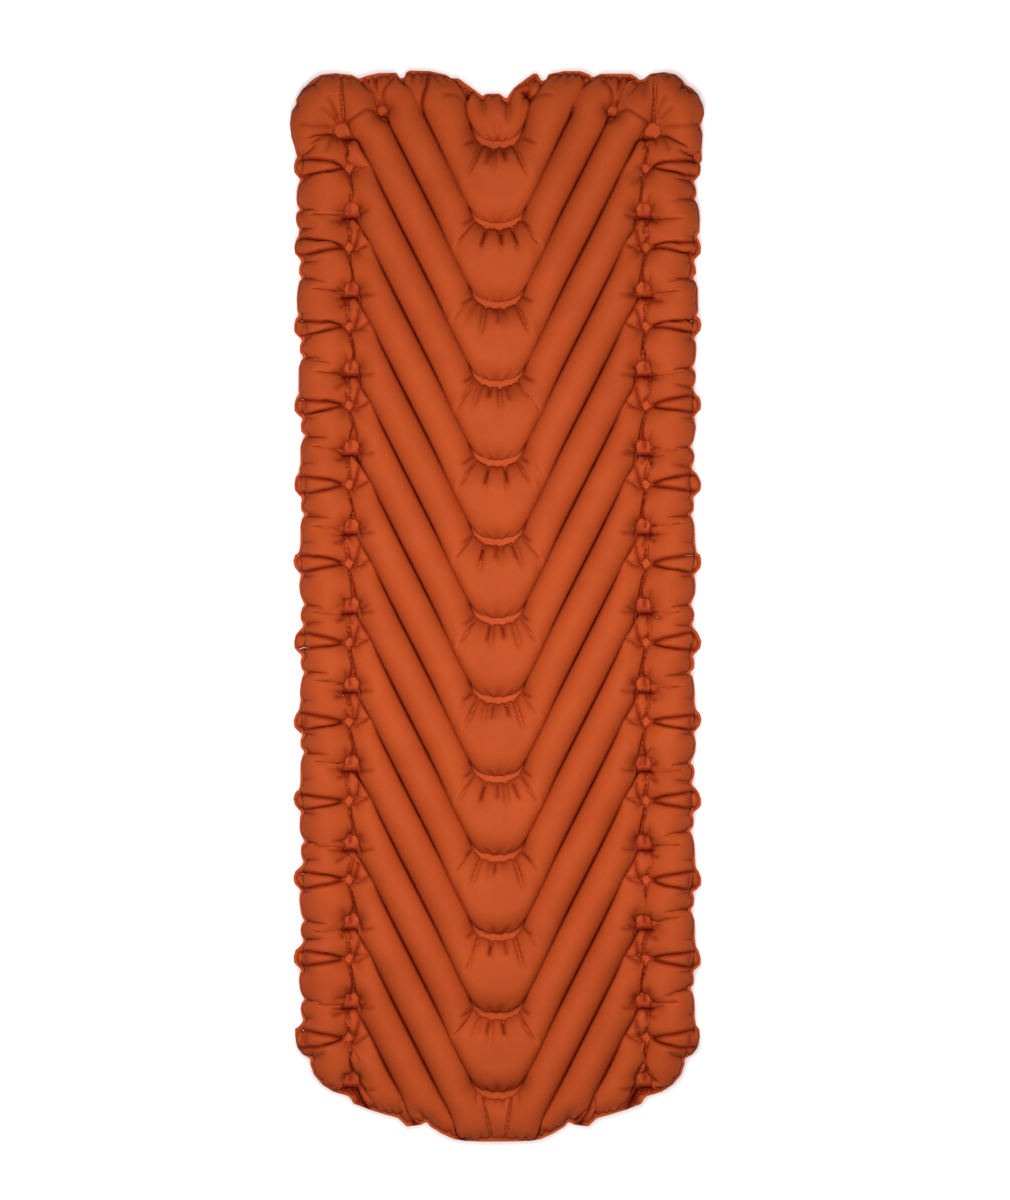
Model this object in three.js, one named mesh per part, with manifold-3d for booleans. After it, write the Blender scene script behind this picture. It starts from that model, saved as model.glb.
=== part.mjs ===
// Inflatable sleeping pad: two laminated fabric sheets welded together along chevrons, spots and
// a rim seam, with a flat air valve on one head corner.
//
// Millimetres, +Z up. The pad lies flat, and the origin is the centre of its footprint on the
// ground. +Y points to the head end.
import * as THREE from "three";
import { mergeVertices } from "three/addons/utils/BufferGeometryUtils.js";
import Module from "manifold-3d";

// ---- driving dimensions: pad ----
const LENGTH = 1930;
const WIDTH = 748;
const RAIL_HEIGHT = 76; // full thickness of the pad at its side rails
const TUBE_HEIGHT = 65; // full thickness of the pad at its chevron tubes
const FABRIC = 0.5;
const WELD_GAP = 0.3; // between the two sheets where they are welded
const SEAM = 8; // width of the rim seam
const CORNER_RADIUS = 75;
const RIM_SLOPE = 43; // from the rim seam to the full height of a rail

// ---- driving dimensions: chevrons ----
const PITCH = 142; // from one chevron weld to the next, along the pad
const FIRST_BEND_Y = 825; // bottom of the chevron weld nearest the head
const TUBES = 15;
const ARM_ANGLE = THREE.MathUtils.degToRad(27.1); // from the pad's length
const BEND_RADIUS = 48;
const ARM_END_X = 257;
const SPOT_X = 269; // line of the spot welds beside a rail
const HEAD_RAIL_Y = 893; // where the chevron welds stop, short of the head end

// ---- driving dimensions: outline ----
const NOTCH_DEPTH = 40;
const NOTCH_BOTTOM = 50; // half width
const NOTCH_TOP = 99; // half width
const FOOT_FLAT = 81; // half width of the straight foot edge
const FOOT_SIDE_X = 268; // where the sloping foot edge meets the rounded foot corner
const FOOT_SLOPE = 0.46;
const FOOT_CORNER_TOP = 200; // height of the foot corner above the foot edge

// ---- driving dimensions: valve ----
// On its own axis, z = 0 is the outside of the sheet and + is out of the pad.
const VALVE_DOWN_ANGLE = THREE.MathUtils.degToRad(40); // below the horizontal
const VALVE_FLAT_DEPTH = 9; // how far the stiff flange flattens the corner
const VALVE_RAISE = 3; // of the valve's centre towards the rim seam
const FLANGE_RADIUS = 19.5;
const NECK_RADIUS = 12;
const NECK_BORE = 10.2;
const NECK_TOP = 3.5;
const NECK_BOTTOM = -14;
const CORE_BORE = 8.2;
const CORE_TOP = 3;
const SEAT_Z = -13;
const BUTTON_RADIUS = 6;
const STEM_RADIUS = 1.3;
const CAP_RADIUS = 13.6;
const CAP_TOP = 7.5;
const CAP_WALL = 1.5;
const HINGE_Y = 15.6; // of the strap's thin line, where it bends
const STRAP_TOP = 2.4;
const CLEARANCE = 0.3;
const ROUND = 28; // facets round a moulded ring

const wasm = await Module();
wasm.setup();

// ---- geometry helpers ----

// A three.js geometry as a manifold-3d solid.
function solid(geometry) {
  const bare = geometry.clone();
  bare.deleteAttribute("normal");
  bare.deleteAttribute("uv");
  const merged = mergeVertices(bare, 1e-4);
  const vertProperties = merged.attributes.position.array;
  return new wasm.Manifold(new wasm.Mesh({ numProp: 3, vertProperties, triVerts: merged.index.array }));
}

// A manifold-3d solid as a three.js geometry.
function geometryOf(made) {
  const { vertProperties, triVerts } = made.getMesh();
  const geometry = new THREE.BufferGeometry();
  geometry.setAttribute("position", new THREE.BufferAttribute(vertProperties, 3));
  geometry.setIndex(new THREE.BufferAttribute(triVerts, 1));
  geometry.computeVertexNormals();
  return geometry;
}

// A closed solid under a grid of points grid[row][column] = [x, y, z], standing on the plane z = floor.
function terrain(grid, floor) {
  const rows = grid.length;
  const columns = grid[0].length;
  const top = grid.flat();
  const bottom = top.map(([x, y]) => [x, y, floor]);
  const at = (row, column) => row * columns + column;
  const triangles = [];
  const quad = (a, b, c, d) => triangles.push(a, b, c, a, c, d);
  const under = top.length;
  for (let r = 0; r + 1 < rows; r++) {
    for (let c = 0; c + 1 < columns; c++) {
      const [a, b, e, f] = [at(r, c), at(r, c + 1), at(r + 1, c + 1), at(r + 1, c)];
      quad(a, b, e, f);
      quad(under + a, under + f, under + e, under + b);
    }
    quad(at(r, 0), at(r + 1, 0), under + at(r + 1, 0), under + at(r, 0));
    const [near, far] = [at(r, columns - 1), at(r + 1, columns - 1)];
    quad(far, near, under + near, under + far);
  }
  for (let c = 0; c + 1 < columns; c++) {
    quad(at(0, c + 1), at(0, c), under + at(0, c), under + at(0, c + 1));
    quad(at(rows - 1, c), at(rows - 1, c + 1), under + at(rows - 1, c + 1), under + at(rows - 1, c));
  }
  const geometry = new THREE.BufferGeometry();
  geometry.setAttribute("position", new THREE.Float32BufferAttribute([...top, ...bottom].flat(), 3));
  geometry.setIndex(triangles);
  return solid(geometry);
}

// A solid through closed rings of points [x, y, z], capped at both ends. Every ring has the same
// number of points.
function stack(rings) {
  const count = rings[0].length;
  const triangles = [];
  rings.slice(1).forEach((_, k) => {
    for (let i = 0; i < count; i++) {
      const j = (i + 1) % count;
      const [a, b] = [k * count + i, k * count + j];
      triangles.push(a, b, b + count, a, b + count, a + count);
    }
  });
  const flat = (ring) => ring.map(([x, y]) => new THREE.Vector2(x, y));
  const last = (rings.length - 1) * count;
  for (const [a, b, c] of THREE.ShapeUtils.triangulateShape(flat(rings[0]), [])) triangles.push(c, b, a);
  for (const [a, b, c] of THREE.ShapeUtils.triangulateShape(flat(rings.at(-1)), [])) {
    triangles.push(last + a, last + b, last + c);
  }
  const geometry = new THREE.BufferGeometry();
  geometry.setAttribute("position", new THREE.Float32BufferAttribute(rings.flat(2), 3));
  geometry.setIndex(triangles);
  return solid(geometry);
}

// A body turned round the Z axis from a closed profile of [radius, z]. LatheGeometry turns about Y.
function turned(profile, facets = ROUND) {
  const points = [...profile, profile[0]].map(([r, z]) => new THREE.Vector2(r, z));
  return solid(new THREE.LatheGeometry(points, facets).rotateX(Math.PI / 2));
}

const ring = (inner, outer, low, high, facets) =>
  turned([[inner, low], [outer, low], [outer, high], [inner, high]], facets);

function disc(radius, low, high, facets = ROUND) {
  const upright = new THREE.CylinderGeometry(radius, radius, high - low, facets);
  return solid(upright.rotateX(Math.PI / 2).translate(0, 0, (low + high) / 2));
}

const block = (low, high) =>
  solid(
    new THREE.BoxGeometry(high[0] - low[0], high[1] - low[1], high[2] - low[2]).translate(
      (low[0] + high[0]) / 2,
      (low[1] + high[1]) / 2,
      (low[2] + high[2]) / 2,
    ),
  );

const union = (parts) => parts.reduce((a, b) => a.add(b));

// ---- pad ----

// How far a chevron weld has risen towards the head at this distance from the pad's middle: first
// along the bend's arc, then along a straight arm.
function chevronRise(x) {
  const across = Math.min(Math.abs(x), ARM_END_X);
  if (across < BEND_RADIUS * Math.cos(ARM_ANGLE)) {
    return BEND_RADIUS - Math.sqrt(BEND_RADIUS ** 2 - across ** 2);
  }
  const corner = (BEND_RADIUS * (1 - Math.sin(ARM_ANGLE))) / Math.cos(ARM_ANGLE);
  return (across - corner) / Math.tan(ARM_ANGLE);
}

// Half of the outline, from the middle of the head end to the middle of the foot end, on the +X side.
function halfOutline() {
  const [side, head, foot] = [WIDTH / 2, LENGTH / 2, -LENGTH / 2];
  const shape = new THREE.Path();
  shape.moveTo(0, head - NOTCH_DEPTH);
  shape.lineTo(NOTCH_BOTTOM, head - NOTCH_DEPTH + 3);
  shape.lineTo(NOTCH_TOP, head);
  shape.lineTo(side - CORNER_RADIUS, head);
  shape.absarc(side - CORNER_RADIUS, head - CORNER_RADIUS, CORNER_RADIUS, Math.PI / 2, 0, true);
  shape.lineTo(side, foot + FOOT_CORNER_TOP);
  shape.quadraticCurveTo(side, foot + (FOOT_SIDE_X - FOOT_FLAT) * FOOT_SLOPE + 20,
    FOOT_SIDE_X, foot + (FOOT_SIDE_X - FOOT_FLAT) * FOOT_SLOPE);
  shape.lineTo(FOOT_FLAT, foot);
  shape.lineTo(0, foot);
  return shape.getPoints(6);
}

// The whole outline as [x, y], running anticlockwise, moved inwards by this distance.
function outline(inset) {
  const right = halfOutline();
  const left = right.slice(1, -1).reverse().map(({ x, y }) => new THREE.Vector2(-x, y));
  const loop = [...right, ...left].reverse();
  return loop.map((p, i) => {
    const before = loop.at(i - 1).clone().sub(p).negate().normalize();
    const after = loop[(i + 1) % loop.length].clone().sub(p).normalize();
    const along = before.clone().add(after).normalize();
    const inwards = new THREE.Vector2(-along.y, along.x);
    const stretch = Math.max(0.5, along.dot(after));
    return [p.x + (inwards.x * inset) / stretch, p.y + (inwards.y * inset) / stretch];
  });
}

// The height of the pad's upper half over one place. The phase is 0 on a chevron weld and 0.5 on a
// tube's crest.
function halfHeight(x, y, phase) {
  const across = Math.abs(x);
  const arch = (t) => Math.sqrt(Math.max(0, 1 - (1 - Math.min(1, t)) ** 2));
  const tube = (TUBE_HEIGHT / 2) * arch(2 * Math.min(phase, 1 - phase));
  const atSpot = phase === 0.5;
  const spotLine = atSpot ? 0 : 0.6 * tube;
  const rail = (RAIL_HEIGHT / 2) * (atSpot ? 0.88 : 1);
  const inHeadRail = y > HEAD_RAIL_Y;
  if (across > SPOT_X) return spotLine + (rail - spotLine) * arch((across - SPOT_X) / RIM_SLOPE);
  if (inHeadRail) return rail * arch((y - HEAD_RAIL_Y + 10) / RIM_SLOPE);
  return across > ARM_END_X ? spotLine : tube;
}

// The solid between the weld plane and the pad's upper surface, which the chevrons corrugate and
// which rounds down to the rim seam.
function upperHalf() {
  const half = [0, 22, 43, 115, 186, ARM_END_X, SPOT_X, 284, 312, WIDTH / 2 + 5];
  const xs = [...half.slice(1).reverse().map((x) => -x), ...half];
  const phases = [0, 0.2, 0.5, 0.8]; // of the rows of points across each tube, from one weld to the next
  const grid = [];
  for (let weld = -TUBES - 3; weld <= 1; weld++) {
    for (const phase of phases) {
      grid.push(
        xs.map((x) => {
          const y = FIRST_BEND_Y + (weld + phase) * PITCH + chevronRise(x);
          return [x, y, halfHeight(x, y, phase)];
        }),
      );
    }
  }
  const rim = [0, 4, 16, RIM_SLOPE].map((inset) => {
    const z = (RAIL_HEIGHT / 2) * Math.sqrt(1 - (1 - inset / RIM_SLOPE) ** 2);
    return outline(SEAM + inset).map(([x, y]) => [x, y, z]);
  });
  return terrain(grid, -SEAM).intersect(stack(rim));
}

// One sheet: the seam and weld strips lie flat, and the rest stands up round the air. The solid
// flattened(depth) is what the valve's flange leaves of the pad at this depth in the fabric.
function sheet(flattened) {
  const low = WELD_GAP / 2;
  const flat = stack([low, low + FABRIC].map((z) => outline(0).map(([x, y]) => [x, y, z])));
  const outer = upperHalf();
  const above = block([-WIDTH, -LENGTH, low], [WIDTH, LENGTH, RAIL_HEIGHT]);
  const skin = outer.intersect(flattened(0)).add(flat);
  return skin.subtract(outer.translate([0, 0, -FABRIC]).intersect(flattened(FABRIC))).intersect(above);
}

// ---- valve ----
// Its own +Y runs up the corner to the rim seam.

const OUTWARDS = new THREE.Vector3(-Math.SQRT1_2, Math.SQRT1_2, 0); // level, out of the head corner
const sideways = new THREE.Vector3(-Math.SQRT1_2, -Math.SQRT1_2, 0);
const valveAxis = OUTWARDS.clone().multiplyScalar(Math.cos(VALVE_DOWN_ANGLE));
valveAxis.z = -Math.sin(VALVE_DOWN_ANGLE);
const upCorner = valveAxis.clone().cross(sideways);
const cornerCentre = new THREE.Vector3(CORNER_RADIUS - WIDTH / 2, LENGTH / 2 - CORNER_RADIUS, 0);
const archCentre = cornerCentre.addScaledVector(OUTWARDS, CORNER_RADIUS - SEAM - RIM_SLOPE);
const archReach = Math.hypot(
  RIM_SLOPE * Math.cos(VALVE_DOWN_ANGLE),
  (RAIL_HEIGHT / 2) * Math.sin(VALVE_DOWN_ANGLE),
);
const valvePlace = archCentre
  .addScaledVector(valveAxis, archReach - VALVE_FLAT_DEPTH)
  .addScaledVector(upCorner, VALVE_RAISE);
const valveBasis = new THREE.Matrix4().makeBasis(sideways, upCorner, valveAxis);
const valveMatrix = valveBasis.clone().setPosition(valvePlace);

// A solid in the valve's frame moved to its place on the pad, before the pad is raised off the ground.
const placed = (made) => made.transform(valveMatrix.toArray());

function valveFlange() {
  return turned([
    [NECK_BORE, NECK_BOTTOM], [NECK_RADIUS, NECK_BOTTOM], [NECK_RADIUS, -2.4], [FLANGE_RADIUS, -2.0],
    [FLANGE_RADIUS, -0.95], [NECK_RADIUS, -0.95], [NECK_RADIUS, NECK_TOP], [NECK_BORE, NECK_TOP],
  ]);
}

// The rigid core that carries the seat, the spider and the groove for its seal ring.
function valveCore() {
  const outer = NECK_BORE - CLEARANCE;
  const groove = NECK_BORE - 1.2;
  const wall = turned([
    [CORE_BORE, SEAT_Z], [outer, SEAT_Z], [outer, -8.7], [groove, -8.7],
    [groove, -7.3], [outer, -7.3], [outer, CORE_TOP], [CORE_BORE, CORE_TOP],
  ]);
  const hub = ring(STEM_RADIUS + CLEARANCE, 4, -9.5, -6, 20);
  const seat = ring(CORE_BORE - 1.8, CORE_BORE + 0.5, SEAT_Z, SEAT_Z + 1.2);
  const spoke = block([3.5, -0.7, -9], [CORE_BORE + 0.5, 0.7, -7]);
  const spokes = [0, 120, 240].map((turn) => spoke.rotate([0, 0, turn]));
  return union([wall, hub, seat, ...spokes]);
}

function pushButton() {
  const head = turned([
    [0, 0.4], [BUTTON_RADIUS - 0.6, 0.4], [BUTTON_RADIUS, 1],
    [BUTTON_RADIUS, 2], [BUTTON_RADIUS - 0.8, 2.7], [0, 2.9],
  ]);
  const stem = disc(STEM_RADIUS, -18.4, 1, 16);
  const groove = ring(STEM_RADIUS - 0.4, STEM_RADIUS + 1, -17.6, -16.7, 16);
  return head.add(stem).subtract(groove);
}

function buttonSpring() {
  const [turns, radius, low, high] = [4, 3.2, -5.1, -0.5];
  const stepsPerTurn = 10;
  const steps = turns * stepsPerTurn;
  const points = Array.from({ length: steps + 1 }, (_, i) => {
    const angle = (i / stepsPerTurn) * 2 * Math.PI;
    const z = low + ((high - low) * i) / steps;
    return new THREE.Vector3(radius * Math.cos(angle), radius * Math.sin(angle), z);
  });
  const wire = new THREE.Shape().absarc(0, 0, 0.4, 0, 2 * Math.PI);
  const extrudePath = new THREE.CatmullRomCurve3(points);
  const swept = { steps: turns * 12, curveSegments: 3, bevelEnabled: false, extrudePath };
  return solid(new THREE.ExtrudeGeometry(wire, swept));
}

// The soft ring of round section that seals the core into the neck.
function coreSeal() {
  return solid(new THREE.TorusGeometry(NECK_BORE - 0.6, 0.5, 6, ROUND).translate(0, 0, -8));
}

// The ring round the neck that keeps the cap on, with its half of the strap. The strap turns up
// just beyond the thin line where it bends.
function tetherRing() {
  const strap = block([-4, CAP_RADIUS - 0.4, 0.3], [4, HINGE_Y + 2, 1.1]);
  const upturn = block([-4, HINGE_Y + CLEARANCE / 2, 0.3], [4, HINGE_Y + 2, STRAP_TOP]);
  return union([ring(NECK_RADIUS + CLEARANCE, CAP_RADIUS, 0.3, 1.1), strap, upturn]);
}

function valveCap() {
  const skirtLow = 1.5;
  const bore = NECK_RADIUS + 0.4;
  const shell = turned([
    [0, CAP_TOP - CAP_WALL], [bore, CAP_TOP - CAP_WALL], [bore, skirtLow], [CAP_RADIUS, skirtLow],
    [CAP_RADIUS, CAP_TOP - 0.8], [CAP_RADIUS - 0.8, CAP_TOP], [0, CAP_TOP],
  ]);
  const thumbTab = block([-CAP_RADIUS - 4, -4, 3.6], [-CAP_RADIUS + 0.8, 4, 4.8]);
  const strap = block([-4, CAP_RADIUS - 0.8, skirtLow], [4, HINGE_Y - CLEARANCE / 2, STRAP_TOP]);
  return union([shell, thumbTab, strap]);
}

// ---- materials ----
const fabric = new THREE.MeshStandardMaterial({ color: 0xc4552e, roughness: 0.6, metalness: 0 });
const darkFilm = new THREE.MeshStandardMaterial({ color: 0x2b2c2e, roughness: 0.5, metalness: 0 });
const plastic = new THREE.MeshStandardMaterial({ color: 0x1d1e20, roughness: 0.4, metalness: 0 });
const buttonPlastic = new THREE.MeshStandardMaterial({ color: 0x6c6f72, roughness: 0.4, metalness: 0 });
const silicone = new THREE.MeshStandardMaterial({ color: 0xd8dadb, roughness: 0.6, metalness: 0 });
const steel = new THREE.MeshStandardMaterial({ color: 0xb9bcc0, roughness: 0.3, metalness: 1 });

// ---- assembly ----
function named(name, made, material) {
  const mesh = new THREE.Mesh(geometryOf(made), material);
  mesh.name = name;
  return mesh;
}

// What the valve's flange leaves of the lower half of the pad: the side of its plane away from the
// corner.
const reach = 2 * LENGTH;
const insideValvePlane = (depth) => placed(block([-reach, -reach, -reach], [reach, reach, -depth]));
const mirrored = (made) => made.mirror([0, 0, 1]);
const everywhere = () => block([-WIDTH, -LENGTH, -RAIL_HEIGHT], [WIDTH, LENGTH, RAIL_HEIGHT]);

const upper = sheet(everywhere);
const lower = mirrored(sheet((depth) => mirrored(insideValvePlane(depth)))).subtract(
  placed(disc(NECK_RADIUS + CLEARANCE, -9, 9)),
);

const flapRadius = CORE_BORE - 0.8;
const stemClearance = STEM_RADIUS + CLEARANCE;
const gasketLow = NECK_TOP + CLEARANCE;
const gasketHigh = CAP_TOP - CAP_WALL - CLEARANCE;
const valve = new THREE.Group();
valve.position.copy(valvePlace);
valve.quaternion.setFromRotationMatrix(valveBasis);
valve.add(
  named("valve_flange", valveFlange(), darkFilm),
  named("valve_core", valveCore(), plastic),
  named("valve_core_seal", coreSeal(), silicone),
  named("push_button", pushButton(), buttonPlastic),
  named("button_spring", buttonSpring(), steel),
  named("flap_disc", ring(stemClearance, flapRadius, -14.3, -13.3), silicone),
  named("flap_backing_plate", ring(stemClearance, 5, -15.8, -14.6), plastic),
  named("stem_clip", ring(STEM_RADIUS - 0.1, 3, -17.4, -16.9, 20), steel),
  named("tether_ring", tetherRing(), plastic),
  named("valve_cap", valveCap(), plastic),
  named("cap_gasket", ring(NECK_BORE + 0.2, NECK_RADIUS - 0.2, gasketLow, gasketHigh), silicone),
);

const pad = new THREE.Group();
pad.position.z = RAIL_HEIGHT / 2;
pad.add(named("upper_sheet", upper, fabric), named("lower_sheet", lower, fabric), valve);

export default pad;
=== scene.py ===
"""The inflatable sleeping pad. Its two welded fabric sheets are inflated here by a small membrane solver. The
valve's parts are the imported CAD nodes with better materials. Metres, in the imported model's frame."""

import math
from concurrent.futures import ThreadPoolExecutor

import bpy
import numpy as np
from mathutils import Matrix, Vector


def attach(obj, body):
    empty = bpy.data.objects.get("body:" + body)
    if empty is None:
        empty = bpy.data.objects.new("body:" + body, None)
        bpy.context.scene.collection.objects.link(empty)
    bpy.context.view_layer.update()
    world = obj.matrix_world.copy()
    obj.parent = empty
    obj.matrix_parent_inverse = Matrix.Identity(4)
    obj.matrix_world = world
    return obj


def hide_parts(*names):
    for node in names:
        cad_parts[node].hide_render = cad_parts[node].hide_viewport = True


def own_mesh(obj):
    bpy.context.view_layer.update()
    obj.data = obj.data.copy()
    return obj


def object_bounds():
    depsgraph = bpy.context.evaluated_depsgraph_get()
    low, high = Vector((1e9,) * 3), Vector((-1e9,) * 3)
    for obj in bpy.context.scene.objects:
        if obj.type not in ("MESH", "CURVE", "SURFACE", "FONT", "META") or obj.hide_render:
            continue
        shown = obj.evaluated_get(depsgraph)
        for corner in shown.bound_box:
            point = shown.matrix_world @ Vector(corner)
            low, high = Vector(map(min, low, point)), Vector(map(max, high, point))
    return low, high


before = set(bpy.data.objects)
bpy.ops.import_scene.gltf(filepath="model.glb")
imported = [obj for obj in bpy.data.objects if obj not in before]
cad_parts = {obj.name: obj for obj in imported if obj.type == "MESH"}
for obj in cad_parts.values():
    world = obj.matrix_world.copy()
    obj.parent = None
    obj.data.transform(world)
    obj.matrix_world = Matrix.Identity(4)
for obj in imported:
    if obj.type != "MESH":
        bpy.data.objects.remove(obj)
cad_low, cad_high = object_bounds()

# ---- dimensions of the inflated pad ----
WELD_PLANE = (cad_low[2] + cad_high[2]) / 2
HALF_HEIGHT = (cad_high[2] - cad_low[2]) / 2
HALF_WIDTH = (cad_high[0] - cad_low[0]) / 2
HALF_LENGTH = (cad_high[1] - cad_low[1]) / 2
FABRIC = 0.0003
SEAM = 0.0048  # width of the rim seam

PITCH = 0.142  # from one chevron to the next
BEND_Y = 0.825  # where the middle of the chevron nearest the head would be
BENDS = 16  # the last three bend beyond the foot, and only their arms reach the pad
ARM_ANGLE = math.radians(26.9)  # from the pad's length
BEND_RADIUS = 0.049
CURL_X = 0.250  # where an arm ends and its curl begins
CURL_RADIUS = 0.013
CURL_TURN = math.radians(66)
CURL_END = 0.014  # straight end of a curl, across the pad
SPOT_X = 0.267  # the round welds that the pleats start from
SPOT_Y = 0.787
SPOTS = 12  # pleats on a side
BEND_WELD = 0.0054  # half of the weld strip's width at the middle of a bend
BEND_FULL = 0.006  # rise above the bend over which the strip keeps that width
BEND_TAPER = 0.042  # rise over which it then narrows to a line
SPOT_RADIUS = 0.0062
CURL_DISC = 0.0125  # radius of the round weld that ends a curl
DISC_X = 0.262
CURL_RISE = 0.067  # of that disc above the next spot
HEAD_ENDS = {1: 0.884, 2: 0.880}  # where the chevrons nearest the head stop

# ---- fabric ----
MESH = 0.004  # side of a triangle
SMALLEST_FACE = 0.05 * MESH**2
WELD_REACH = 3e-4  # how far outside a weld's edge a point may be and still be held by it
SEAM_REACH = 1e-4
RIM_WIDTH = 0.012  # of the strip inside the seam that the ruffle fades over
TUBE_SHRINK = 0.62  # width of a tube's inflated footprint over its flat width
FOOT_EASE = 0.02  # below the last bend, where the fabric stops being gathered across
FOOT_HALF = 0.036  # half width of that place

# ---- inflating ----
PRESSURE = 2.0
COMPRESSION = 0.6  # stiffness of the fabric when squeezed, over its stiffness when stretched
BENDING = 0.05
DAMPING = 0.97
STEPS = 480
TIME_STEP = 0.16
DOME_HEIGHT = 0.030  # of the shape that the inflation starts from
DOME_REACH = 0.028
UNEVENNESS = 0.0004  # of that shape
THREADS = 4

# ---- creases ----
HEAD_PULL = 0.12  # of a head crease of depth 1
SHARP_FOLD = math.radians(38)
GROOVE_WIDTH = 0.0052  # half width of a crease's sharp bottom
GROOVE_DEPTH = 0.0009  # for a crease of depth 1
GROOVE_CLEAR = 0.001  # of the welds
GROOVE_EASE = 0.005
GROOVE_LEAVES = 0.2  # of the sheet's height, at the least
CREASE_START = 0.003  # how far below the starting dome a drawn-in crease begins
SHADE_START = 0.012  # rise above a bend where the painted shade along its arms begins
SHADE_EASE = 0.024
LOW_SHADE_HEIGHT = 0.009  # height above the weld plane under which the fabric gets painted shade
VALLEY_SHADE_WIDTH = 0.011  # of the painted shade on each side of a chevron's arm

# ---- the valve's stiff flange, which flattens the lower sheet ----
# valve_axis points out of the pad. The axis meets the sheet's outside at valve_place.
NECK_HOLE = 0.0123  # radius
FLANGE_FLAT = 0.0215
FLANGE_EASE = 0.040
FLANGE_DEPTH = 0.018  # how far inside the flange's plane the fabric is drawn to it
NECK_DEPTH = 0.02
VALVE_DOWN = math.radians(40)
sideways = math.cos(VALVE_DOWN) / math.sqrt(2)
valve_axis = np.array([-sideways, sideways, -math.sin(VALVE_DOWN)])
valve_place = np.array([-0.334672, 0.925672, 0.019724])


# ---- layout of the welds, for the half with x > 0 ----
def arc_points(start, heading, turn, radius, steps):
    """Points along an arc. heading turns from +Y towards +X, and a negative radius bends the other way."""
    angles = [heading + turn * i / steps for i in range(steps + 1)]
    return [
        (
            start[0] + radius * (math.cos(heading) - math.cos(a)),
            start[1] + radius * (math.sin(a) - math.sin(heading)),
        )
        for a in angles
    ]


def chevron_line(y, highest):
    """One chevron weld from the middle of its bend: an arc, a straight arm, and the curl at its end."""
    points = arc_points((0, y), math.pi / 2, ARM_ANGLE - math.pi / 2, -BEND_RADIUS, 9)
    x0, y0 = points[-1]
    end_x = min(CURL_X, x0 + (highest - y0) * math.tan(ARM_ANGLE))
    if end_x <= x0:
        return points
    end = (end_x, y0 + (end_x - x0) / math.tan(ARM_ANGLE))
    points.append(end)
    if end_x >= CURL_X:
        points += arc_points(end, ARM_ANGLE, CURL_TURN, CURL_RADIUS, 6)[1:]
        points.append((points[-1][0] + CURL_END, points[-1][1] - 0.001))
    return points


# The weld nearest the head is a U that closes off the short tube behind the notch.
FIRST_WELD = (
    (0, 0.829), (0.012, 0.830), (0.024, 0.835), (0.034, 0.844), (0.043, 0.859), (0.051, 0.880),
    (0.056, 0.898), (0.057, 0.908), (0.050, 0.921),
)


def chevron_lines():
    return [FIRST_WELD] + [chevron_line(BEND_Y - k * PITCH, HEAD_ENDS.get(k, 9)) for k in range(1, BENDS)]


def spots():
    """The round welds, as (x, y, radius): one at each curl's end and a smaller one below it."""
    curl_ends = [(DISC_X, SPOT_Y + CURL_RISE - k * PITCH, CURL_DISC) for k in range(1, SPOTS + 1)]
    beside_rail = [(SPOT_X, SPOT_Y - k * PITCH, SPOT_RADIUS) for k in range(SPOTS + 1)]
    corner = (0.279, SPOT_Y + CURL_RISE, CURL_DISC)
    return [corner, (0.206, 0.889, 0.008), *curl_ends, *beside_rail]


# The side edge between two pleats: (share of the pitch below the first pleat, distance from the middle).
SIDE_EDGES = (
    (
        (-0.14, 0.3575), (-0.11, 0.364), (-0.03, 0.367), (0.05, 0.365), (0.105, 0.358), (0.14, 0.353),
        (0.20, 0.3555), (0.27, 0.3565), (0.38, 0.355), (0.45, 0.352), (0.52, 0.347), (0.56, 0.352),
        (0.63, 0.3545), (0.71, 0.353), (0.77, 0.3485), (0.81, 0.351),
    ),
    (
        (-0.15, 0.357), (-0.10, 0.3625), (-0.02, 0.366), (0.07, 0.3655), (0.13, 0.357), (0.16, 0.351),
        (0.24, 0.354), (0.33, 0.353), (0.38, 0.346), (0.43, 0.351), (0.52, 0.354), (0.64, 0.355),
        (0.73, 0.3545), (0.80, 0.356),
    ),
)
RIGHT_HEAD = (
    (0.004, 0.922), (0.016, 0.912), (0.021, 0.921), (0.030, 0.933), (0.055, 0.952), (0.065, 0.959),
    (0.072, 0.958), (0.078, 0.947), (0.083, 0.945), (0.088, 0.949), (0.091, 0.957), (0.120, 0.963),
    (0.150, 0.963), (0.165, 0.957), (0.171, 0.951), (0.185, 0.958), (0.240, 0.958), (0.250, 0.952),
    (0.257, 0.946), (0.263, 0.949), (0.275, 0.958), (0.300, 0.961), (0.320, 0.957), (0.333, 0.947),
    (0.338, 0.939), (0.350, 0.932), (0.361, 0.921), (0.370, 0.900), (0.372, 0.885), (0.367, 0.870),
    (0.365, 0.865), (0.369, 0.848), (0.367, 0.820), (0.368, 0.800),
)
LEFT_HEAD = (
    (0.020, 0.922), (0.027, 0.918), (0.040, 0.928), (0.057, 0.940), (0.070, 0.950), (0.083, 0.950),
    (0.092, 0.956), (0.122, 0.963), (0.158, 0.964), (0.165, 0.960), (0.167, 0.951), (0.175, 0.950),
    (0.182, 0.960), (0.214, 0.959), (0.236, 0.954), (0.249, 0.949), (0.262, 0.956), (0.292, 0.959),
    (0.318, 0.956), (0.334, 0.944), (0.351, 0.931), (0.362, 0.912), (0.361, 0.905), (0.370, 0.890),
    (0.3735, 0.868), (0.371, 0.845), (0.362, 0.815), (0.360, 0.806),
)
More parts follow.
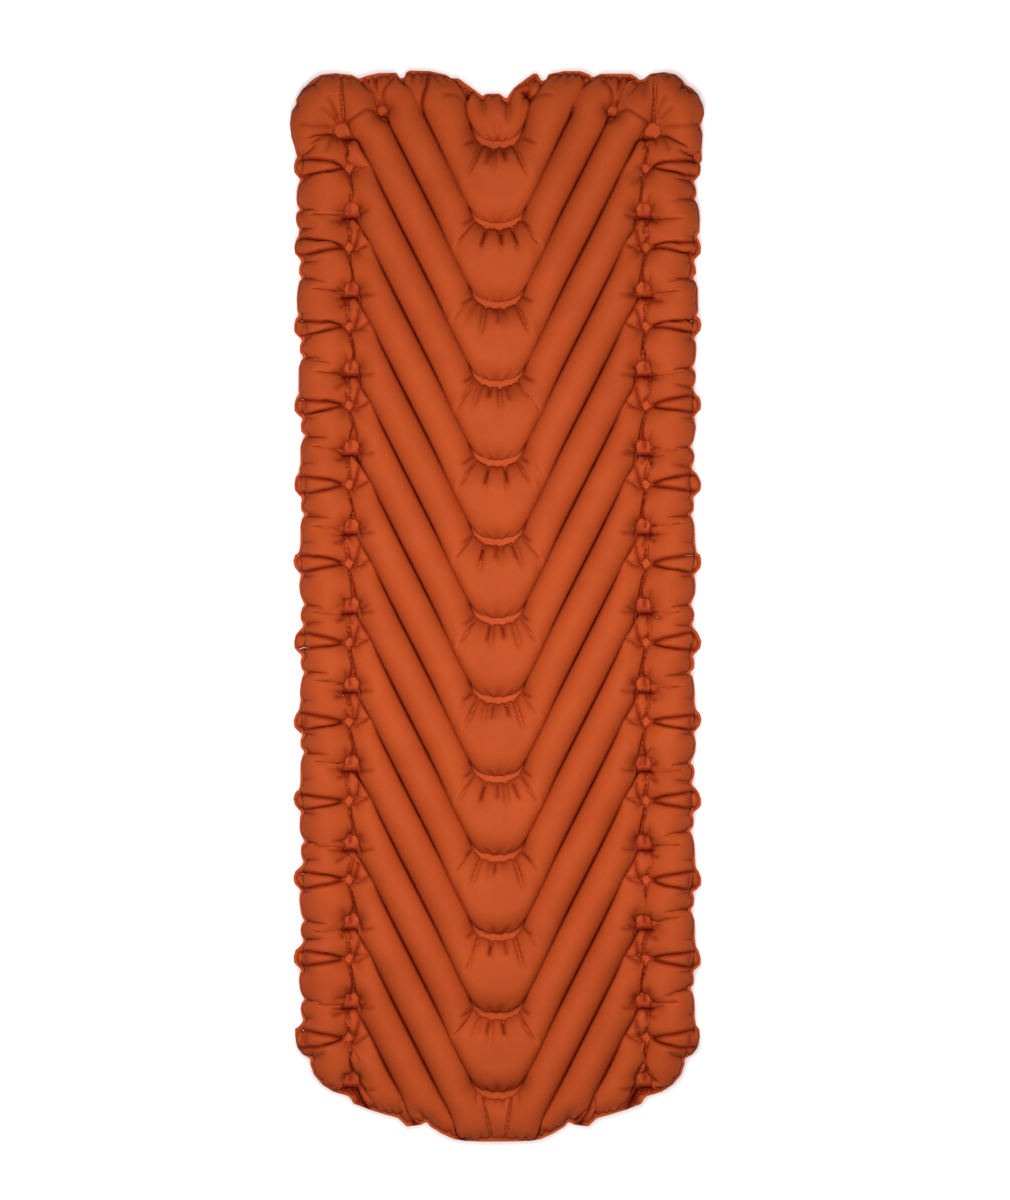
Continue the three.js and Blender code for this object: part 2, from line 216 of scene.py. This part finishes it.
FOOT = (
    (0.364, -0.775), (0.360, -0.793), (0.350, -0.806), (0.336, -0.8135), (0.337, -0.822), (0.330, -0.842),
    (0.315, -0.860), (0.295, -0.873), (0.270, -0.880), (0.264, -0.884), (0.259, -0.894), (0.230, -0.905),
    (0.201, -0.914), (0.179, -0.920), (0.163, -0.935), (0.138, -0.932), (0.128, -0.927), (0.120, -0.936),
    (0.100, -0.948), (0.077, -0.958), (0.058, -0.961), (0.030, -0.962), (0, -0.962),
)


def side_edge(rng):
    """One side of the outline from the first pleat to the foot's corner."""
    points = []
    for k in range(SPOTS):
        fuller = 0.009 * max(0, 1 - k / 3)
        swap = rng.integers(0, 2)
        for share, x in SIDE_EDGES[swap]:
            lobe = fuller * math.sin(math.pi * max(0, share - 0.1))
            jitter = rng.uniform(-0.0008, 0.0008)
            points.append((x + lobe + jitter, SPOT_Y - (k + share) * PITCH))
    return [point for point in points if point[1] > FOOT[0][1] + 0.006]


def outline_points():
    """The pad's edge, all the way round, clockwise from the middle of the head end."""
    rng = np.random.default_rng(5)
    right = [*RIGHT_HEAD, *side_edge(rng), *FOOT]
    left = [(-x, y) for x, y in [*LEFT_HEAD, *side_edge(rng), *FOOT[:-1]]]
    return np.array(right + left[::-1] + right[:1])


def crease_lines():
    """Where folds form, as (points, depth, pull): how deep the bottom is pressed, how hard it is drawn in."""
    rng = np.random.default_rng(11)
    lines = []
    for side in (1, -1):
        for k in range(SPOTS):
            lines += pleat(side, SPOT_Y - k * PITCH, rng)
        for k in range(4, BENDS):
            lines += rail_valley(side, BEND_Y - k * PITCH, rng)
    lines += head_creases()
    for k in range(SPOTS):
        lines += bend_creases(BEND_Y - k * PITCH, rng)
    return lines


def pleat(side, y, rng):
    """The two folds from a spot weld to the edge: they cross just outboard of the spot and widen outwards."""
    rise, fall = rng.uniform(0.011, 0.016), rng.uniform(0.009, 0.014)
    upper = [(0.281, y + 0.002), (0.300, y + 0.6 * rise), (0.332, y + rise), (0.352, y + rise)]
    lower = [(0.281, y - 0.002), (0.300, y - 0.6 * fall), (0.332, y - fall), (0.354, y - fall)]
    lines = [(upper, 5, 2.2), (lower, 5, 2.2)]
    if rng.random() < 0.5:
        lines.append(([(0.334, y - 0.7 * fall), (0.333, y + 0.7 * rise)], 2.5, 0.5))
    return [([(side * px, py) for px, py in line], depth, pull) for line, depth, pull in lines]


def rail_valley(side, bend_y, rng):
    """The sharp crooked valley from a chevron's curl down past the spot weld to the next curl."""
    curl_y = bend_y + 0.436
    spot_y = bend_y + 0.371
    bow = rng.uniform(-0.003, 0.003)
    to_spot = [(0.252, curl_y - 0.020), (0.254 + bow / 2, curl_y - 0.033), (0.260, spot_y + 0.010)]
    beyond = [(0.266, spot_y - 0.010), (0.268 + bow, spot_y - 0.030), (0.265 + bow / 2, spot_y - 0.046)]
    beyond.append((0.265, spot_y - 0.060))
    tuck = [(0.252, spot_y - 0.064), (0.240, spot_y - 0.071), (0.222, spot_y - 0.071)]
    short = [(0.239, spot_y + 0.018), (0.252, spot_y + 0.008)]
    lines = [(to_spot, 4, 0), (beyond, 5, 0.2), (tuck, 2.5, 0), (short, 3, 0)]
    centre = (DISC_X, spot_y + CURL_RISE)
    for angle in (-75, -35, 5, 40, 75, 115):
        turn = math.radians(angle + rng.uniform(-12, 12))
        ends = (CURL_DISC + 0.002, CURL_DISC + rng.uniform(0.012, 0.024))
        ray = [(centre[0] + r * math.sin(turn), centre[1] + r * math.cos(turn)) for r in ends]
        lines.append((ray, 3, 0.2))
    return [([(side * px, py) for px, py in line], depth, pull) for line, depth, pull in lines]


def bend_creases(bend_y, rng):
    """Short creases below a chevron's bend: one to three straight down, and one off each of its shoulders."""
    centre_y = bend_y + BEND_RADIUS
    count = rng.integers(1, 4)
    angles = [(i - (count - 1) / 2) * 20 + rng.uniform(-5, 5) for i in range(count)]
    lines = []
    for angle in [*angles, -52 + rng.uniform(-5, 5), 52 + rng.uniform(-5, 5)]:
        turn = math.radians(angle)
        below = abs(angle) < 45
        start = BEND_RADIUS + (0.017 if below else 0.011)
        length = rng.uniform(0.014, 0.024) if below else rng.uniform(0.010, 0.016)
        x, y = start * math.sin(turn), centre_y - start * math.cos(turn)
        lean = 0.5 * turn if below else 1.1 * turn
        end = (x + length * math.sin(lean), y - length * math.cos(lean))
        lines.append(([(x, y), end], 3.2, 0))
    return lines


# Folds near the head end, as (depth, points): those from the last welds to the edge, the pits at the dents in
# the edge, and the star round the corner's spot.
HEAD_CREASES = (
    (3, (0.198, 0.900), (0.200, 0.912), (0.197, 0.926), (0.188, 0.942)),
    (3, (0.268, 0.869), (0.245, 0.882), (0.236, 0.888), (0.222, 0.885)),
    (2, (0.072, 0.904), (0.082, 0.910), (0.096, 0.910)),
    (4, (0.160, 0.934), (0.172, 0.939), (0.183, 0.946)),
    (4, (0.330, 0.938), (0.332, 0.925), (0.342, 0.916)),
    (2, (0.302, 0.862), (0.322, 0.862), (0.340, 0.863)),
    (2, (0.300, 0.846), (0.328, 0.829)),
    (2, (0.297, 0.841), (0.309, 0.814)),
    (2, (0.293, 0.874), (0.312, 0.890)),
    (2, (0.289, 0.877), (0.303, 0.906)),
    (2, (0.271, 0.826), (0.273, 0.804)),
)
RIGHT_HEAD_CREASE = ((0.124, 0.884), (0.135, 0.893), (0.143, 0.920), (0.153, 0.950))
LEFT_HEAD_CREASE = ((-0.124, 0.884), (-0.125, 0.903), (-0.121, 0.930), (-0.122, 0.952))


def head_creases():
    lines = [(RIGHT_HEAD_CREASE, 5, 0.8), (LEFT_HEAD_CREASE, 5, 0.8)]
    for side in (1, -1):
        for depth, *line in HEAD_CREASES:
            lines.append(([(side * x, y) for x, y in line], depth, HEAD_PULL * depth))
    return lines


# ---- distances in the weld plane ----
def line_distance(points, line):
    """Distance of each point from an open line."""
    best = np.full(len(points), np.inf)
    line = np.asarray(line, float)
    for a, b in zip(line[:-1], line[1:]):
        along = b - a
        t = np.clip((points - a) @ along / (along @ along), 0, 1)
        gap = points - a - t[:, None] * along
        best = np.minimum(best, np.hypot(gap[:, 0], gap[:, 1]))
    return best


def near_line(points, line, margin):
    line = np.asarray(line, float)
    inside = (points > line.min(0) - margin) & (points < line.max(0) + margin)
    return np.nonzero(inside.all(1))[0]


def weld_distance(points):
    """Distance outside the nearest chevron or spot weld; negative inside it."""
    folded = np.c_[np.abs(points[:, 0]), points[:, 1]]
    best = np.full(len(points), 1.0)
    for line in chevron_lines():
        near = near_line(folded, line, 0.03)
        above_bend = folded[near, 1] - line[0][1]
        width = BEND_WELD * np.clip(1 - (above_bend - BEND_FULL) / BEND_TAPER, 0, 1)
        best[near] = np.minimum(best[near], line_distance(folded[near], line) - width)
    for x, y, radius in spots():
        best = np.minimum(best, np.hypot(folded[:, 0] - x, folded[:, 1] - y) - radius)
    return best


def edge_distance(points):
    """Distance inside the pad's outline; negative outside it."""
    edge = outline_points()
    distance = line_distance(points, edge)
    inside = np.zeros(len(points), bool)
    x, y = points.T
    for (xa, ya), (xb, yb) in zip(edge[:-1], edge[1:]):
        if ya != yb:
            crosses = (ya > y) != (yb > y)
            inside ^= crosses & (x < xa + (xb - xa) * (y - ya) / (yb - ya))
    return np.where(inside, distance, -distance)


def crease_field(points):
    """Distance from the nearest crease, and that crease's depth and pull."""
    distance = np.full(len(points), 1.0)
    depth_and_pull = np.zeros((len(points), 2))
    for line, depth, pull in crease_lines():
        near = near_line(points, line, 0.02)
        if len(near):
            d = line_distance(points[near], line)
            closer = d < distance[near]
            distance[near[closer]] = d[closer]
            depth_and_pull[near[closer]] = depth, pull
    return distance, *depth_and_pull.T


def painted_shade_in_folds(points, place, held):
    """How deep a point lies in a fold, from 0 to 1, as painted shade: on a chevron's arm, in a crease or low
    beside a weld.
    """
    folded = np.c_[np.abs(points[:, 0]), points[:, 1]]
    # Painted shade along each chevron's arm, fading away from the weld line.
    painted_valley_shade = np.zeros(len(points))
    for line in chevron_lines():
        near = near_line(folded, line, 0.03)
        arm = np.clip((folded[near, 1] - line[0][1] - SHADE_START) / SHADE_EASE, 0, 1)
        share = np.clip(1 - line_distance(folded[near], line) / VALLEY_SHADE_WIDTH, 0, 1)
        painted_valley_shade[near] = np.maximum(painted_valley_shade[near], arm * share**1.2)
    distance, depth, _ = crease_field(points)
    # Painted shade along the creases.
    painted_shade = np.clip(1 - distance / GROOVE_WIDTH, 0, 1) * np.clip(depth / 5, 0, 1)
    # Painted shade where the loose fabric lies low beside a weld or the seam.
    low = np.where(held, 0, np.clip(1 - place[:, 2] / LOW_SHADE_HEIGHT, 0, 1))
    return np.maximum(np.maximum(painted_valley_shade, 0.65 * painted_shade), 0.6 * low)


# ---- the sheet's mesh: a triangular lattice, pulled onto the edges of the welds ----
NEIGHBOURS = ((1, 0), (0, 1), (-1, 1), (-1, 0), (0, -1), (1, -1))  # anticlockwise


def pull_onto(points, field, reach, rounds=3):
    """Moves the points within reach of the field's zero line onto it."""
    near = np.abs(field(points)) < reach
    moved = points[near]
    step = 1e-5
    for _ in range(rounds):
        value = field(moved)
        slope_x = (field(moved + [step, 0]) - field(moved - [step, 0])) / (2 * step)
        slope_y = (field(moved + [0, step]) - field(moved - [0, step])) / (2 * step)
        scale = value / np.maximum(slope_x**2 + slope_y**2, 0.3)
        moved = moved - np.c_[scale * slope_x, scale * slope_y]
    points = points.copy()
    points[near] = moved
    return points


def lattice():
    """Lattice points over the pad and each one's six neighbours, -1 where it has none."""
    row = MESH * math.sqrt(3) / 2
    rows = int(HALF_LENGTH / row) + 3
    columns = int(HALF_WIDTH / MESH) + 3 + rows
    i, j = np.meshgrid(np.arange(-columns, columns + 1), np.arange(-rows, rows + 1), indexing="ij")
    x, y = MESH * (i + j / 2), row * j
    near = (np.abs(x) < HALF_WIDTH + MESH) & (np.abs(y) < HALF_LENGTH + MESH)
    points = np.c_[x[near], y[near]]
    keep = edge_distance(points) > -MESH / 2
    number = -np.ones(i.shape, int)
    number[near] = np.where(keep, np.cumsum(keep) - 1, -1)
    at = np.nonzero(number >= 0)
    own = number[at]
    neighbours = -np.ones((len(own), 6), int)
    for k, (di, dj) in enumerate(NEIGHBOURS):
        ni = np.clip(at[0] + di, 0, i.shape[0] - 1)
        nj = np.clip(at[1] + dj, 0, i.shape[1] - 1)
        neighbours[own, k] = number[ni, nj]
    return points[keep], neighbours


def sheet_mesh():
    """Flat positions in the weld plane, neighbours, and which points are held by a weld or the rim seam."""
    points, neighbours = lattice()
    points = pull_onto(points, edge_distance, MESH / 2)
    points = pull_onto(points, lambda p: edge_distance(p) - SEAM, MESH / 2)
    inner = edge_distance(points) > SEAM + 0.3 * MESH
    points[inner] = pull_onto(points[inner], weld_distance, 0.55 * MESH)
    loose = (edge_distance(points) > SEAM + 0.6 * MESH) & (weld_distance(points) > 0.6 * MESH)
    points[loose] = pull_onto(points[loose], lambda p: crease_field(p)[0], 0.5 * MESH, 1)
    seam = edge_distance(points) <= SEAM + SEAM_REACH
    held = seam | (weld_distance(points) <= WELD_REACH)
    return points, neighbours, held


def triangles_of(neighbours):
    faces = []
    own = np.arange(len(neighbours))
    for k in (0, 1):
        a, b = neighbours[:, k], neighbours[:, k + 1]
        whole = (a >= 0) & (b >= 0)
        faces.append(np.c_[own[whole], a[whole], b[whole]])
    return np.vstack(faces)


def flat_pattern(points):
    """Where each point of the fabric lay when the pad was cut, before inflating drew its tubes together."""
    flat_angle = math.atan(math.tan(ARM_ANGLE) / TUBE_SHRINK)
    along = 1 / math.hypot(math.cos(flat_angle), TUBE_SHRINK * math.sin(flat_angle))
    across = math.sin(flat_angle) / math.sin(ARM_ANGLE)
    shear = (math.cos(flat_angle) - math.cos(ARM_ANGLE) * along) / math.sin(ARM_ANGLE)
    from_middle = np.minimum(np.hypot(points[:, 0], 0.02), SPOT_X)
    last_bend = BEND_Y - SPOTS * PITCH
    below = np.clip((last_bend - points[:, 1]) / FOOT_EASE, 0, 1)
    at_foot = below * np.clip(2 - np.abs(points[:, 0]) / FOOT_HALF, 0, 1)
    across = across - (across - 1) * at_foot
    return np.c_[points[:, 0] * across, points[:, 1] * along + shear * from_middle]


# ---- the membrane solver ----
def inflate(points, neighbours, held):
    """Relaxes the sheet under pressure over the welds, which stay in the plane z = 0. Returns its points."""
    rng = np.random.default_rng(3)
    there = neighbours >= 0
    linked = np.where(there, neighbours, np.arange(len(points))[:, None]).astype(np.int32)
    flat = flat_pattern(points)
    rest = np.linalg.norm(flat[linked] - flat[:, None], axis=2).astype(np.float32)
    weight = there.astype(np.float32)
    corner = (there & np.roll(there, -1, 1)).astype(np.float32)
    valence = np.maximum(weight.sum(1, keepdims=True), 1)

    from_weld = np.minimum(np.maximum(weld_distance(points), 0), np.maximum(edge_distance(points) - SEAM, 0))
    share = np.clip(from_weld / DOME_REACH, 0, 1)
    dome = DOME_HEIGHT * np.sqrt(np.clip(1 - (1 - share) ** 2, 0, 1))
    place = np.c_[points, dome].astype(np.float32)
    place[~held] += rng.normal(0, UNEVENNESS, (int((~held).sum()), 3))
    crease, _, crease_pull = crease_field(points)
    pull = np.where((crease < 0.3 * MESH) & ~held, crease_pull, 0)
    pull = (pull * PRESSURE * MESH**2 * math.sqrt(3) / 2).astype(np.float32)
    place[pull > 0, 2] -= CREASE_START
    place[held, 2] = 0
    place[:, 2] = np.maximum(place[:, 2], 0)

    free = np.nonzero(~held)[0]
    shares = np.array_split(free, 2 * THREADS)
    parts = [(c, linked[c], weight[c], corner[c], rest[c], valence[c], pull[c]) for c in shares]
    force = np.zeros_like(place)
    bow = np.zeros_like(place)
    speed = np.zeros_like(place)

    def membrane(part):
        own, near, weights, corners, lengths, count, down = part
        edge = place[near] - place[own][:, None]
        length = np.sqrt((edge * edge).sum(2)) + 1e-9
        strain = (length - lengths) / length
        strain = np.where(strain < 0, strain * COMPRESSION, strain) * weights
        bow[own] = (edge * weights[:, :, None]).sum(1) / count
        area = np.cross(edge, np.roll(edge, -1, 1)) * corners[:, :, None]
        force[own] = (edge * strain[:, :, None]).sum(1) + area.sum(1) * (PRESSURE / 6)
        force[own, 2] -= down

    def bending(part):
        own, near, weights, _, _, count, _ = part
        force[own] += BENDING * (bow[own] - (bow[near] * weights[:, :, None]).sum(1) / count)

    with ThreadPoolExecutor(THREADS) as pool:
        for _ in range(STEPS):
            list(pool.map(membrane, parts))
            list(pool.map(bending, parts))
            speed[free] = speed[free] * DAMPING + force[free] * TIME_STEP
            place += speed
            stopped = (place[:, 2] < 0) | (place[:, 2] > HALF_HEIGHT - FABRIC)
            speed[stopped, 2] = 0
            place[:, 2] = np.clip(place[:, 2], 0, HALF_HEIGHT - FABRIC)
    return place.astype(float)


def with_creases(place, points, held):
    """Presses the sharp bottom of each crease into the inflated sheet."""
    distance, depth, _ = crease_field(points)
    clear_of_weld = np.clip((weld_distance(points) - GROOVE_CLEAR) / GROOVE_EASE, 0, 1)
    clear = clear_of_weld * np.clip((edge_distance(points) - SEAM) / GROOVE_EASE, 0, 1)
    press = GROOVE_DEPTH * depth * np.clip(1 - distance / GROOVE_WIDTH, 0, 1) * clear
    place = place.copy()
    place[~held, 2] = np.maximum(place[~held, 2] - press[~held], GROOVE_LEAVES * place[~held, 2])
    return place


# ---- pieces ----
def new_mesh(name, points, faces, uv, shade, material):
    mesh = bpy.data.meshes.new(name)
    mesh.vertices.add(len(points))
    mesh.vertices.foreach_set("co", points.astype(np.float32).ravel())
    mesh.loops.add(len(faces) * 3)
    mesh.loops.foreach_set("vertex_index", faces.astype(np.int32).ravel())
    mesh.polygons.add(len(faces))
    mesh.polygons.foreach_set("loop_start", np.arange(0, len(faces) * 3, 3, dtype=np.int32))
    mesh.polygons.foreach_set("loop_total", np.full(len(faces), 3, np.int32))
    layer = mesh.uv_layers.new(name="flat")
    layer.data.foreach_set("uv", uv[faces.ravel()].astype(np.float32).ravel())
    # The painted shade of the folds, kept on the points for the fabric's colour.
    mesh.attributes.new("painted_shade", "FLOAT", "POINT").data.foreach_set("value", shade.astype(np.float32))
    mesh.update()
    mesh.validate()
    mesh.shade_smooth()
    mesh.set_sharp_from_angle(angle=SHARP_FOLD)
    mesh.materials.append(material)
    piece = bpy.data.objects.new(name, mesh)
    bpy.context.collection.objects.link(piece)
    return piece


def used_only(points, faces, *rest):
    """Leaves out the points that no face uses."""
    used = np.zeros(len(points), bool)
    used[faces] = True
    number = np.cumsum(used) - 1
    return points[used], number[faces], *(values[used] for values in rest)


def ruffle(points, rim):
    """A gentle wave up and down along the rim seam, the same for both sheets."""
    x, y = points[:, 0], points[:, 1]
    wave = 0.0016 * np.sin(70 * y + 9 * x) + 0.0012 * np.sin(131 * y - 60 * x + 1.3)
    return wave * rim


# ---- materials ----
def node_material(name, colour, roughness):
    material = bpy.data.materials.new(name)
    material.use_nodes = True
    shader = material.node_tree.nodes["Principled BSDF"]
    shader.inputs["Base Color"].default_value = (*colour, 1)
    shader.inputs["Roughness"].default_value = roughness
    return material, material.node_tree, shader


def ramp(tree, factor, stops):
    node = tree.nodes.new("ShaderNodeValToRGB")
    tree.links.new(factor, node.inputs["Fac"])
    while len(node.color_ramp.elements) < len(stops):
        node.color_ramp.elements.new(0.5)
    for element, (position, colour) in zip(node.color_ramp.elements, stops):
        element.position = position
        element.color = (*colour, 1)
    return node.outputs["Color"]


def noise(tree, vector, scale, detail=3, roughness=0.5):
    node = tree.nodes.new("ShaderNodeTexNoise")
    node.inputs["Scale"].default_value = scale
    node.inputs["Detail"].default_value = detail
    node.inputs["Roughness"].default_value = roughness
    tree.links.new(vector, node.inputs["Vector"])
    return node.outputs["Fac"]


def bump(tree, height, strength, distance, normal=None):
    node = tree.nodes.new("ShaderNodeBump")
    node.inputs["Strength"].default_value = strength
    node.inputs["Distance"].default_value = distance
    tree.links.new(height, node.inputs["Height"])
    if normal is not None:
        tree.links.new(normal, node.inputs["Normal"])
    return node.outputs["Normal"]


def fabric_material():
    """Burnt orange polyester: a fine plain weave, soft crumples, uneven colour, and painted shade deep in
    folds.
    """
    material, tree, shader = node_material("orange_fabric", (0.41, 0.062, 0.0145), 0.55)
    shader.inputs["Specular IOR Level"].default_value = 0.02
    flat = tree.nodes.new("ShaderNodeUVMap")
    flat.uv_map = "flat"
    place = flat.outputs["UV"]
    threads = []
    for direction in ("X", "Y"):
        wave = tree.nodes.new("ShaderNodeTexWave")
        wave.bands_direction = direction
        wave.inputs["Scale"].default_value = 330
        wave.inputs["Distortion"].default_value = 0.6
        tree.links.new(place, wave.inputs["Vector"])
        threads.append(wave.outputs["Fac"])
    weave = tree.nodes.new("ShaderNodeMath")
    weave.operation = "MAXIMUM"
    tree.links.new(threads[0], weave.inputs[0])
    tree.links.new(threads[1], weave.inputs[1])
    mottle = noise(tree, place, 9, 4, 0.6)
    colour = ramp(tree, mottle, [(0.25, (0.375, 0.055, 0.0125)), (0.75, (0.445, 0.069, 0.0165))])
    # Painted shade: the point attribute of painted shade multiplies the colour down to a near-black red deep
    # in the folds.
    painted_shade = tree.nodes.new("ShaderNodeAttribute")
    painted_shade.attribute_name = "painted_shade"
    painted_shade_tones = [(0, (1, 1, 1)), (0.5, (0.55, 0.32, 0.32)), (1, (0.12, 0.01, 0.012))]
    depth = ramp(tree, painted_shade.outputs["Fac"], painted_shade_tones)
    painted_shade_mix = tree.nodes.new("ShaderNodeMixRGB")
    painted_shade_mix.blend_type = "MULTIPLY"
    painted_shade_mix.inputs["Fac"].default_value = 1
    tree.links.new(colour, painted_shade_mix.inputs["Color1"])
    tree.links.new(depth, painted_shade_mix.inputs["Color2"])
    tree.links.new(painted_shade_mix.outputs["Color"], shader.inputs["Base Color"])
    shine = ramp(tree, noise(tree, place, 38, 3, 0.6), [(0.3, (0.47,) * 3), (0.7, (0.62,) * 3)])
    tree.links.new(shine, shader.inputs["Roughness"])
    crumple = bump(tree, noise(tree, place, 60, 4, 0.55), 0.25, 0.0012)
    tree.links.new(bump(tree, weave.outputs[0], 0.15, 0.0001, crumple), shader.inputs["Normal"])
    return material


def moulded_material(name, colour, roughness, grain=900):
    """Moulded plastic or rubber: a fine grain, with slightly uneven gloss."""
    material, tree, shader = node_material(name, colour, roughness)
    place = tree.nodes.new("ShaderNodeTexCoord").outputs["Object"]
    worn = [(0.3, (roughness - 0.08,) * 3), (0.7, (roughness + 0.08,) * 3)]
    tree.links.new(ramp(tree, noise(tree, place, 120), worn), shader.inputs["Roughness"])
    dusty = [(0.35, colour), (0.8, tuple(min(1, 1.35 * c + 0.004) for c in colour))]
    tree.links.new(ramp(tree, noise(tree, place, 60, 5), dusty), shader.inputs["Base Color"])
    tree.links.new(bump(tree, noise(tree, place, grain, 2), 0.2, 0.0001), shader.inputs["Normal"])
    return material


def spring_material():
    material, tree, shader = node_material("spring_steel", (0.5, 0.51, 0.53), 0.3)
    shader.inputs["Metallic"].default_value = 1
    place = tree.nodes.new("ShaderNodeTexCoord").outputs["Object"]
    drawn = [(0.3, (0.22,) * 3), (0.7, (0.38,) * 3)]
    tree.links.new(ramp(tree, noise(tree, place, 700, 2), drawn), shader.inputs["Roughness"])
    return material


# ---- the two sheets ----
points, neighbours, held = sheet_mesh()
all_faces = triangles_of(neighbours)
corners = points[all_faces]
side_a, side_b = corners[:, 1] - corners[:, 0], corners[:, 2] - corners[:, 0]
area = (side_a[:, 0] * side_b[:, 1] - side_a[:, 1] * side_b[:, 0]) / 2
all_faces = all_faces[area > SMALLEST_FACE]
flat_uv = flat_pattern(points)
blown = with_creases(inflate(points, neighbours, held), points, held)
# Painted shade for the folds, used in the colour of both sheets.
painted_fold_shade = painted_shade_in_folds(points, blown, held)
rim = np.clip(1 - (edge_distance(points) - SEAM) / RIM_WIDTH, 0, 1)
fabric = fabric_material()


def upper_sheet():
    place = blown.copy()
    place[:, 2] += WELD_PLANE + FABRIC + ruffle(place, rim)
    place, faces, uv, shade = used_only(place, all_faces, flat_uv, painted_fold_shade)
    return new_mesh("pad_top", place, faces, uv, shade, fabric)


def flattened_at_valve(place):
    """The fabric lies flat on the valve's flange, and eases into the corner's curve round it."""
    offset = place - valve_place
    along = offset @ valve_axis
    across = np.linalg.norm(offset - along[:, None] * valve_axis, axis=1)
    share = np.clip((FLANGE_EASE - across) / (FLANGE_EASE - FLANGE_FLAT), 0, 1)
    share = share * share * (3 - 2 * share)
    share[along < -FLANGE_DEPTH] = 0
    outside = along > 0
    share[outside & (across < FLANGE_EASE)] = 1
    return place - (along * share)[:, None] * valve_axis, across, along


def lower_sheet():
    """The same sheet on the underside, with the hole for the valve's neck."""
    place = blown * [1, 1, -1]
    place[:, 2] += WELD_PLANE - FABRIC + ruffle(place, rim)
    place, across, along = flattened_at_valve(place)
    near = (np.abs(along) < NECK_DEPTH) & (np.abs(across - NECK_HOLE) < MESH / 2)
    offset = place[near] - valve_place
    outwards = offset - (offset @ valve_axis)[:, None] * valve_axis
    length = np.linalg.norm(outwards, axis=1)
    place[near] += outwards * (NECK_HOLE / length - 1)[:, None]
    across[near] = NECK_HOLE
    gone = (across < NECK_HOLE - 1e-6) & (np.abs(along) < NECK_DEPTH)
    faces = all_faces[~gone[all_faces].any(1)][:, ::-1]
    place, faces, uv, shade = used_only(place, faces, flat_uv, painted_fold_shade)
    return new_mesh("pad_bottom", place, faces, uv, shade, fabric)


for piece, node in ((upper_sheet(), "upper_sheet"), (lower_sheet(), "lower_sheet")):
    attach(piece, "pad")
    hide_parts(node)

# ---- the valve's parts ----
plastic = moulded_material("black_plastic", (0.018, 0.018, 0.020), 0.42)
finishes = {
    "valve_flange": moulded_material("dark_film", (0.05, 0.052, 0.056), 0.5, 600),
    "flap_disc": moulded_material("pale_silicone", (0.62, 0.60, 0.56), 0.38, 400),
    "push_button": moulded_material("grey_plastic", (0.17, 0.175, 0.18), 0.4),
    "button_spring": spring_material(),
}
finishes["valve_core_seal"] = finishes["cap_gasket"] = finishes["flap_disc"]
finishes["stem_clip"] = finishes["button_spring"]
for name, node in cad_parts.items():
    if name not in ("upper_sheet", "lower_sheet"):
        node.data.materials.clear()
        node.data.materials.append(finishes.get(name, plastic))


def return_spring():
    """The button's spring, from the button to the core, where its inner end rests: a copy of its CAD mesh,
    fixed to the pad.
    """
    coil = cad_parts["button_spring"].data.copy()
    spring = bpy.data.objects.new("return_spring", coil)
    bpy.context.collection.objects.link(spring)
    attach(spring, "pad")
    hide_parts("button_spring")
    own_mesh(spring)
    return spring


return_spring()

# ---- floor, lights and camera ----
WHITE = (1, 1, 1, 1)


def add_object(name, data, place, turn=(0, 0, 0)):
    thing = bpy.data.objects.new(name, data)
    thing.location = place
    thing.rotation_euler = turn
    bpy.context.collection.objects.link(thing)
    return thing


def soft_light(name, size, power, place, turn=(0, 0, 0)):
    light = bpy.data.lights.new(name, "AREA")
    light.shape = "RECTANGLE"
    light.size, light.size_y = size
    light.energy = power
    lamp = add_object(name, light, place, turn)
    lamp.visible_camera = False


floor_mesh = bpy.data.meshes.new("floor")
floor_mesh.from_pydata([(-20, -20, 0), (20, -20, 0), (20, 20, 0), (-20, 20, 0)], [], [(0, 1, 2, 3)])
floor_material, _, floor_shader = node_material("floor", (0.85, 0.85, 0.85), 0.8)
floor_shader.inputs["Emission Color"].default_value = WHITE
floor_shader.inputs["Emission Strength"].default_value = 0.55
floor_mesh.materials.append(floor_material)
add_object("floor", floor_mesh, (0, 0, -0.0005))

world = bpy.data.worlds.new("world")
world.use_nodes = True
world_nodes = world.node_tree.nodes
backdrop = world_nodes["Background"]
backdrop.inputs["Color"].default_value = WHITE
seen = world_nodes.new("ShaderNodeLightPath")
level = world_nodes.new("ShaderNodeMapRange")
level.inputs["To Min"].default_value = 0.03
level.inputs["To Max"].default_value = 1
world.node_tree.links.new(seen.outputs["Is Camera Ray"], level.inputs["Value"])
world.node_tree.links.new(level.outputs["Result"], backdrop.inputs["Strength"])
bpy.context.scene.world = world
soft_light("overhead", (0.7, 1.7), 71, (-0.05, -0.02, 2.2))

VIEW_HEIGHT = 2.158
LENS = 135
SENSOR = 36
camera_data = bpy.data.cameras.new("camera")
camera_data.lens = LENS
camera_data.sensor_width = SENSOR
camera_data.clip_end = 60
camera_height = WELD_PLANE + VIEW_HEIGHT * LENS / SENSOR
bpy.context.scene.camera = add_object("camera", camera_data, (0.0135, 0.0117, camera_height))
bpy.context.scene.view_settings.view_transform = "Standard"
